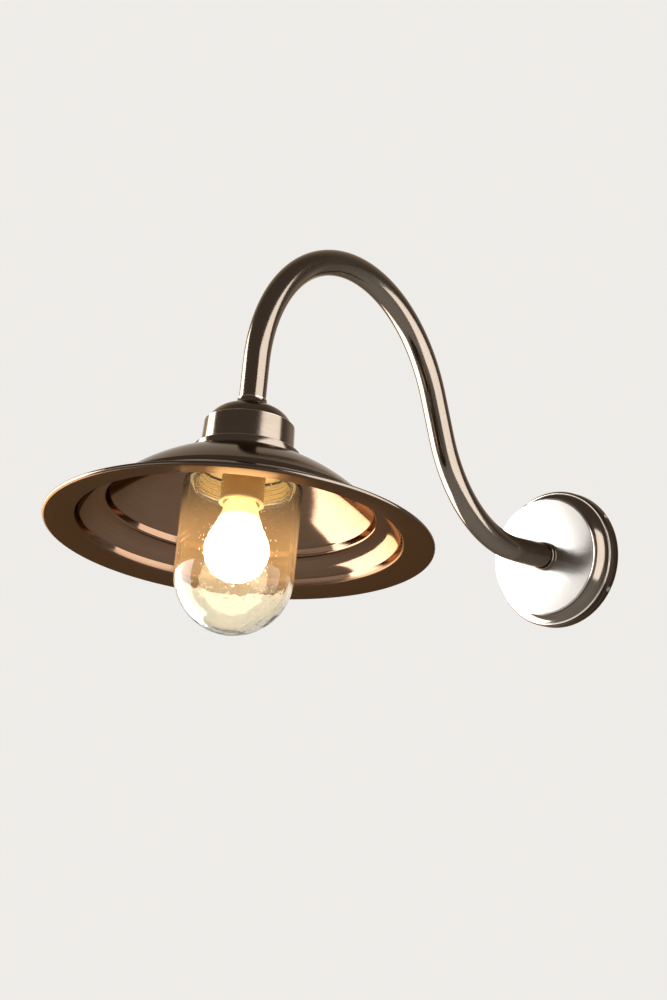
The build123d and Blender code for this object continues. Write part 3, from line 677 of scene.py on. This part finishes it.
def makeCap(s, material):
    inner = s["radius"] - s["sheet"]
    underTop = s["top"] - s["sheet"]
    outline = Outline(s["radius"], s["bandTop"] + s["land"])
    outline.arc(s["topRadius"], s["top"], -s["sagitta"], s["arcSteps"])
    outline.line((s["hole"], s["top"]), (s["hole"], underTop), (s["topRadius"], underTop))
    outline.arc(inner, s["bandTop"], s["sagitta"], s["arcSteps"])
    outline.line((inner, s["seat"]), (s["radius"], s["seat"])).close().soften(*s["soft"])
    piece = outline.turned("domeCap", shadePlace, s["steps"])
    dress(piece, "dome_cap", "fixture", "antique_silver", material)
    print("dome cap turned")


# Gallery

gallery = {
    "foot": 0.0725, "footRadius": 0.051, "footTop": 0.081, "footTopRadius": 0.0498,
    "bandFoot": 0.0432, "bandTop": 0.108, "bandTopRadius": 0.0418, "wall": 0.0032,
    "seat": 0.106, "seatRadius": 0.0393, "ledge": 0.002, "web": 0.096, "underside": 0.093,
    "hole": 0.0052, "soft": (0.0009, 5), "steps": 192,
    "bossPitch": 0.0352, "bossRadius": 0.0045, "bosses": 3, "bossFoot": 0.0726,
    "bossSoft": (0.0005, 3), "bossSteps": 48,
}


def makeGallery(s, material):
    inner = s["bandFoot"] - s["wall"]
    outline = Outline(inner, s["foot"]).line(
        (s["footRadius"], s["foot"]),
        (s["footTopRadius"], s["footTop"]),
        (s["bandFoot"], s["footTop"]),
        (s["bandTopRadius"], s["bandTop"]),
        (s["seatRadius"], s["bandTop"]),
        (s["seatRadius"], s["seat"]),
        (inner - s["ledge"], s["seat"]),
        (inner - s["ledge"], s["web"]),
        (s["hole"], s["web"]),
        (s["hole"], s["underside"]),
        (inner, s["underside"]),
    )
    piece = outline.close().soften(*s["soft"]).turned("gallery", shadePlace, s["steps"])
    dress(piece, "gallery", "fixture", "antique_silver", material)
    for turn in range(s["bosses"]):
        angle = 2 * pi * turn / s["bosses"]
        boss = Outline(0, s["bossFoot"]).line(
            (s["bossRadius"], s["bossFoot"]), (s["bossRadius"], s["underside"]), (0, s["underside"])
        )
        centre = Vector((s["bossPitch"] * cos(angle), s["bossPitch"] * sin(angle), 0))
        made = boss.soften(*s["bossSoft"]).turned(
            f"galleryBoss{turn + 1}", shadePlace @ Matrix.Translation(centre), s["bossSteps"]
        )
        made.data.materials.append(material)
        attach(made, "fixture")
    print("gallery turned")


# Shade

shade = {
    "sheet": 0.0012, "rim": 0.180, "curlRadius": 0.00175, "curlAngle": radians(270),
    "hole": 0.041, "neck": 0.054, "neckHeight": 0.0719,
    "lip": 0.1511, "lipHeight": 0.0042, "step": 0.1244, "stepHeight": 0.0241,
    "wallRise": 0.0065, "wallInset": 0.002, "lowerSagitta": 0.0032, "upperSagitta": 0.004,
    "lowerSteps": 28, "upperSteps": 40, "curlSteps": 24, "soft": (0.0016, 6), "steps": 320,
}


def makeShade(s, outer, inner):
    outline = Outline(s["hole"], s["neckHeight"]).line((s["neck"], s["neckHeight"]))
    outline.arc(
        s["step"] - s["wallInset"], s["stepHeight"] + s["wallRise"],
        s["upperSagitta"], s["upperSteps"],
    )
    outline.line((s["step"], s["stepHeight"]))
    outline.arc(
        s["lip"] - s["wallInset"], s["lipHeight"] + s["wallRise"],
        s["lowerSagitta"], s["lowerSteps"],
    )
    outline.line((s["lip"], s["lipHeight"]))
    curlStart = s["rim"] - s["curlRadius"] - s["sheet"] / 2
    outline.line((curlStart, s["sheet"] / 2)).soften(*s["soft"])
    ends = [vert for vert in outline.bm.verts if len(vert.link_edges) == 1]
    tip = max(ends, key=lambda vert: vert.co.x)
    before = tip.link_edges[0].other_vert(tip)
    way = (tip.co - before.co).normalized()
    centre = tip.co + Vector((-way.z, 0, way.x)) * s["curlRadius"]
    bmesh.ops.spin(  # the rolled rim
        outline.bm, geom=[tip], cent=centre, axis=(0, 1, 0), angle=-s["curlAngle"],
        steps=s["curlSteps"],
    )
    piece = outline.turned("shade", shadePlace, s["steps"], s["sheet"])
    dress(piece, "shade", "fixture", "antique_silver", outer, inner)
    toShade = shadePlace.inverted()
    turn = toShade.to_3x3()
    for panel in piece.data.polygons:  # the second finish goes on what looks down or in
        spot, way = toShade @ panel.center, turn @ panel.normal
        if way.z + way.dot(Vector((spot.x, spot.y, 0)).normalized()) < 0:
            panel.material_index = 1
    print("shade spun")


# Glass carrier and glass

carrier = {
    "top": 0.0713, "ceiling": 0.0689, "mouth": 0.0508, "radius": 0.0508, "bore": 0.0486,
    "hole": 0.0213, "soft": (0.0004, 3), "steps": 192,
}


def makeCarrier(s, material):
    outline = Outline(s["hole"], s["ceiling"]).line(
        (s["hole"], s["top"]), (s["radius"], s["top"]), (s["radius"], s["mouth"]),
        (s["bore"], s["mouth"]), (s["bore"], s["ceiling"]),
    )
    piece = outline.close().soften(*s["soft"]).turned("glassCarrier", shadePlace, s["steps"])
    dress(piece, "glass_carrier", "fixture", "antique_silver", material)
    print("glass carrier turned")


glassDome = {
    "radius": 0.055, "wall": 0.004, "neck": 0.0472, "neckWall": 0.004, "top": 0.0666,
    "shoulder": 0.0498, "centre": -0.039, "thread": 0.001, "threadHeight": 0.0024,
    "firstThread": 0.0532, "pitch": 0.005, "turns": 3, "round": 0.003,
    "domeSteps": 48, "roundSteps": 8, "innerSteps": 6, "soft": (0.0004, 3), "steps": 256,
}


def makeGlass(s, material):
    inner = s["radius"] - s["wall"]
    innerNeck = s["neck"] - s["neckWall"]
    bend = 1 - cos(pi / 4)  # how far a quarter circle of radius 1 bulges
    outline = Outline(0, s["centre"] - s["radius"])
    outline.arc(s["radius"], s["centre"], -s["radius"] * bend, s["domeSteps"])
    outline.line((s["radius"], s["shoulder"] - s["round"]))
    outline.arc(s["radius"] - s["round"], s["shoulder"], -s["round"] * bend, s["roundSteps"])
    outline.line((s["neck"], s["shoulder"]))
    for turn in range(s["turns"]):
        middle = s["firstThread"] + s["pitch"] * turn
        outline.line((s["neck"], middle - s["threadHeight"] / 2))
        outline.arc(s["neck"], middle + s["threadHeight"] / 2, -s["thread"], s["roundSteps"])
    outline.line((s["neck"], s["top"]), (innerNeck, s["top"]))
    underShoulder = s["shoulder"] - s["wall"]
    outline.line((innerNeck, underShoulder + s["round"]))
    outline.arc(innerNeck + s["round"], underShoulder, s["round"] * bend, s["innerSteps"])
    outline.line((inner, underShoulder), (inner, s["centre"]))
    outline.arc(0, s["centre"] - inner, inner * bend, s["domeSteps"])
    piece = outline.soften(*s["soft"]).turned("glassDome", shadePlace, s["steps"])
    dress(piece, "glass_dome", "glass", "clear_glass", material)
    print("glass blown")


# Bulb and lampholder

bulb = {
    "radius": 0.030, "wall": 0.0008, "centre": -0.015, "flank": radians(27.6),
    "throat": (0.0154, 0.0275), "neck": (0.0131, 0.0335),
    "globeSteps": 40, "flankSteps": 20, "throatSteps": 8, "steps": 128,
}


def bulgeBetween(start, end, tangent):  # sagitta of the arc that leaves start along a tangent
    chord = end - start
    angle = chord.angle(tangent)
    side = 1 if tangent.x * chord.y - tangent.y * chord.x < 0 else -1
    return side * chord.length / 2 * tan(angle / 2)


def makeBulb(s, material):
    line = s["radius"] - s["wall"] / 2
    turn = pi / 2 + s["flank"]
    side = Vector((line * sin(turn), s["centre"] - line * cos(turn)))
    outline = Outline(0, s["centre"] - line)
    outline.arc(side.x, side.y, -line * (1 - cos(turn / 2)), s["globeSteps"])
    tangent = Vector((cos(turn), sin(turn)))
    throat = Vector(s["throat"])
    outline.arc(throat.x, throat.y, bulgeBetween(side, throat, tangent), s["flankSteps"])
    chord = throat - side
    tangent = 2 * chord * tangent.dot(chord) / chord.length_squared - tangent  # at the arc's end
    neck = Vector((s["neck"][0] - s["wall"] / 2, s["neck"][1] - s["wall"] / 2))
    outline.arc(neck.x, neck.y, bulgeBetween(throat, neck, tangent), s["throatSteps"])
    piece = outline.turned("bulbGlass", shadePlace, s["steps"], s["wall"])
    dress(piece, "bulb_glass", "bulb", "bulb_glass", material)
    print("bulb blown")


holder = {
    "radius": 0.0204, "wall": 0.0046, "mouth": 0.034, "split": 0.074, "shoulder": 0.082,
    "floor": 0.0643, "floorTop": 0.0683, "neck": 0.009, "top": 0.08635, "bore": 0.00505,
    "ringRadius": 0.0211, "ringBore": 0.0172, "ringHeight": 0.0032, "ringLip": 0.0011,
    "soft": (0.0004, 3), "capSoft": (0.0008, 4), "ringSoft": (0.0004, 4), "steps": 128,
}


def makeHolder(s, body, ring):
    bore = s["radius"] - s["wall"]
    shell = Outline(bore, s["mouth"]).line(
        (s["radius"], s["mouth"]), (s["radius"], s["split"]), (bore, s["split"]),
        (bore, s["floorTop"]), (0, s["floorTop"]), (0, s["floor"]), (bore, s["floor"]),
    )
    piece = shell.close().soften(*s["soft"]).turned("lampholderBody", shadePlace, s["steps"])
    dress(piece, "holder_body", "fixture", "brown_phenolic", body)
    ceiling = s["shoulder"] - (s["floorTop"] - s["floor"])
    top = Outline(bore, s["split"]).line(
        (s["radius"], s["split"]), (s["radius"], s["shoulder"]), (s["neck"], s["shoulder"]),
        (s["neck"], s["top"]), (s["bore"], s["top"]), (s["bore"], ceiling), (bore, ceiling),
    )
    piece = top.close().soften(*s["capSoft"]).turned("lampholderCap", shadePlace, s["steps"])
    dress(piece, "holder_cap", "fixture", "brown_phenolic", body)
    low = s["mouth"] - s["ringHeight"]
    lip = Outline(s["ringBore"], low).line(
        (s["ringRadius"], low), (s["ringRadius"], low + s["ringLip"]),
        (s["radius"], low + s["ringLip"]), (s["radius"], s["mouth"]), (s["ringBore"], s["mouth"]),
    )
    piece = lip.close().soften(*s["ringSoft"]).turned("lampholderRing", shadePlace, s["steps"])
    dress(piece, "holder_ring", "fixture", "antique_silver", ring)
    print("lampholder turned")


# Everything in place

marks = {  # heights on the axis: bands of painted shade from and to, painted highlight lines at and how far they reach
    "plate": {
        "shadedBands": [(-0.0080, 0.0115), (0.0060, 0.0128), (0.0268, 0.0277)],
        "rubbedHighlights": [(0.0130, 0.0003), (0.0281, 0.0004)],
    },
    "head": {
        "shadedBands": [(0.0812, 0.0826), (0.1086, 0.1094), (0.124, 0.1252)],
        "rubbedHighlights": [(0.0729, 0.0007), (0.0808, 0.0006), (0.1078, 0.0007), (0.1325, 0.0006)],
    },
    "shadeTop": {"shadedBands": [(0.0005, 0.0012)]},
    # the lip's band is painted shade, darker like a dim reflection at a grazing view
    "shadeUnder": {"shadedBands": [(-0.0060, 0.0085)]},
    "holderRing": {"shadedBands": [(0.0320, 0.0352)]},
}
solids = {
    # the holder's glow is painted bulb light
    "brownPhenolic": {
        "colour": (0.44, 0.23, 0.085), "roughness": 0.3, "coat": 0.4, "glow": (0.13, 0.062, 0.016),
    },
    "sealRubber": {"colour": (0.035, 0.034, 0.033), "roughness": 0.65},
    "blockPlastic": {"colour": (0.80, 0.78, 0.72), "roughness": 0.45},
    "cableSheath": {"colour": (0.82, 0.81, 0.78), "roughness": 0.5},
    "fusedGlass": {"colour": (0.02, 0.02, 0.025), "roughness": 0.2, "coat": 0.5},
}
plated = {
    "zincPlate": {"colour": (0.62, 0.62, 0.60), "roughness": 0.35},
    "screwSilver": {"colour": (0.66, 0.62, 0.56), "roughness": 0.25},
    "bareBrass": {"colour": (0.80, 0.62, 0.30), "roughness": 0.28},
    "capNickel": {"colour": (0.70, 0.67, 0.62), "roughness": 0.3},
    "solder": {"colour": (0.55, 0.55, 0.54), "roughness": 0.4},
    "drawnWire": {"colour": (0.45, 0.43, 0.40), "roughness": 0.35},
}
plainFinishes = {
    **{name: plainSolid(name, **s) for name, s in solids.items()},
    **{name: plainMetal(name, **s) for name, s in plated.items()},
    "stemGlow": litGlass("stemGlow", stemLight),
}
print("plain finishes mixed")

plateSilver = turnedMetal("plateSilver", wallPlace, silver, **marks["plate"])
faceSilver = turnedMetal("faceSilver", wallPlace, paintedLitFace)
headSilver = turnedMetal("headSilver", shadePlace, silver, **marks["head"])
tubeSilver = bentMetal("tubeSilver", silver)
shadeOutside = turnedMetal("shadeOutside", shadePlace, shadeTop, **marks["shadeTop"])
shadeInside = turnedMetal("shadeInside", shadePlace, paintedUnderside, **marks["shadeUnder"])
carrierSilver = turnedMetal("carrierSilver", shadePlace, paintedBulbLight)
ringSilver = turnedMetal("ringSilver", shadePlace, paintedBulbLight, **marks["holderRing"])
print("metals polished")

plateTop = plate["depth"] + face["thickness"]
makeCup(plate, plateSilver)
makeFace(face, plate, faceSilver)
makeFerrule(ferrule, plateTop, plateSilver)
makeArm(arm, plateTop, tubeSilver)
makeCollar(collar, cap["top"], headSilver)
makeCap(cap, headSilver)
makeGallery(gallery, headSilver)
makeShade(shade, shadeOutside, shadeInside)
makeCarrier(carrier, carrierSilver)
makeGlass(glassDome, domeGlass("domeGlass", clearGlass))
makeBulb(bulb, litGlass("bulbFrost", bulbLight))
makeHolder(holder, plainFinishes["brownPhenolic"], ringSilver)

keptNodes = {  # the CAD pieces that stay, by finish
    "zincPlate": [
        "mounting_disc", "wall_bush", "wall_stud_tube", "wall_washer", "wall_nut", "shade_bush",
        "shade_stud_tube", "gallery_washer", "gallery_nut", "rim_wire",
    ],
    "screwSilver": ["side_screws", "carrier_screws"],
    "bareBrass": ["earth_screw", "terminal_screws", "holder_shell", "holder_contact"],
    "sealRubber": ["wall_gasket", "glass_gasket"],
    "blockPlastic": ["terminal_block"],
    "cableSheath": ["supply_cable"],
    "capNickel": ["bulb_cap"],
    "fusedGlass": ["bulb_insulator"],
    "solder": ["bulb_contact"],
    "stemGlow": ["bulb_stem"],
    "drawnWire": ["bulb_filament"],
}
for finish, names in keptNodes.items():
    for name in names:
        nodes[name].data.materials.clear()
        nodes[name].data.materials.append(plainFinishes[finish])
print("kept pieces finished")


# Studio

backdrop = (0.86, 0.84, 0.81)
floorPaint = {
    "drop": 1.75, "size": 30.0, "cells": 4, "colour": (0.80, 0.78, 0.75), "dull": 0.97,
    "cloudScale": 3.0, "cloudDetail": 2.0, "roughness": 0.7, "glow": 0.7,
}
surround = {  # fill lights the object, and the rest is what it mirrors: dim, with one pale panel
    "fill": (0.80, 0.80, 0.80), "fillLevel": 0.5, "shaded": (0.18, 0.145, 0.12),
    "panel": (1.05, 1.0, 0.95), "panelWay": radians(64), "panelRise": radians(-10),
    "panelEdge": (0.80, 0.88), "paleEdge": (0.25, 1.0),
}
softboxes = [  # way: degrees round from the camera, to its left above 0, and degrees up
    {
        "name": "leftBox", "way": (114, -7), "far": 1.4, "size": (1.5, 2.35), "roll": -24,
        "level": 8.5, "mirrored": True,
    },
    {
        "name": "rightBox", "way": (-60, 3), "far": 1.7, "size": (2.2, 2.6), "roll": 5,
        "level": 3.6, "mirrored": True,
    },
    {
        "name": "topBox", "way": (0, 86), "far": 2.4, "size": (3.0, 3.0), "roll": 0,
        "level": 2.4, "mirrored": False,
    },
]


def addSoftbox(s, target):
    light = bpy.data.lights.new(s["name"], "AREA")
    light.shape = "RECTANGLE"
    light.size, light.size_y = s["size"]
    light.energy = s["level"] * pi * light.size * light.size_y  # level: how bright its face is
    lamp = bpy.data.objects.new(s["name"], light)
    about, up = viewpoint["azimuth"] - pi / 2 - radians(s["way"][0]), radians(s["way"][1])
    way = Vector((cos(about) * cos(up), sin(about) * cos(up), sin(up)))
    lamp.location = target + way * s["far"]
    roll = Matrix.Rotation(radians(s["roll"]), 3, "Z")
    lamp.rotation_euler = (way.to_track_quat("Z", "Y").to_matrix() @ roll).to_euler()
    lamp.visible_camera = False
    lamp.visible_diffuse = not s["mirrored"]  # a mirrored box shows in the metal and lights nothing
    lamp.visible_glossy = s["mirrored"]
    lamp.visible_transmission = False
    bpy.context.collection.objects.link(lamp)


def addFloor(s):
    bm = bmesh.new()
    bmesh.ops.create_grid(bm, x_segments=s["cells"], y_segments=s["cells"], size=s["size"] / 2)
    bmesh.ops.translate(bm, verts=bm.verts[:], vec=(0, 0, cadBox[0][2] - s["drop"]))
    floor = newPiece("floor", bm)
    material, sheet = newFinish("floorPaint")
    cloud = sheet.noise(sheet.place(), s["cloudScale"], s["cloudDetail"])
    tint = sheet.blend(cloud, tuple(part * s["dull"] for part in s["colour"]), s["colour"])
    paint = sheet.node("BsdfPrincipled", None, {"Base Color": tint, "Roughness": s["roughness"]})
    pale = sheet.node("Emission", None, {"Color": backdrop, "Strength": 1.0})
    shown = sheet.node("MixShader", None, {0: sheet.seen() * s["glow"], 1: paint, 2: pale})
    sheet.node("OutputMaterial", None, {"Surface": shown})
    floor.data.materials.append(material)


def addWorld(s):
    world = bpy.data.worlds.new("studio")
    bpy.context.scene.world = world
    world.use_nodes = True
    sheet = Sheet(world.node_tree)
    fill = sheet.node("Background", None, {"Color": s["fill"], "Strength": s["fillLevel"]})
    pale = sheet.node("Background", None, {"Color": backdrop, "Strength": 1.0})
    x, y, z = sheet.parts(sheet.place())
    ahead = x * -sin(viewpoint["azimuth"]) + y * cos(viewpoint["azimuth"])
    side = viewpoint["azimuth"] - s["panelWay"]
    beside = (x * sin(side) - y * cos(side)) * cos(s["panelRise"]) + z * sin(s["panelRise"])
    panelled = sheet.blend(beside.step(*s["panelEdge"]), s["shaded"], s["panel"])
    around = sheet.blend(ahead.step(*s["paleEdge"]), panelled, backdrop)
    mirrored = sheet.node("Background", None, {"Color": around, "Strength": 1.0})
    glossy = sheet.node("LightPath", None, None, "Is Glossy Ray")
    plain = sheet.node("MixShader", None, {0: sheet.seen(), 1: fill, 2: pale})
    shown = sheet.node("MixShader", None, {0: glossy, 1: plain, 2: mirrored})
    sheet.node("OutputWorld", None, {"Surface": shown})


addFloor(floorPaint)
addWorld(surround)
middle = (Vector(cadBox[0]) + Vector(cadBox[1])) / 2
for box in softboxes:
    addSoftbox(box, middle)
bpy.context.scene.view_settings.view_transform = "Standard"
print("studio lit")
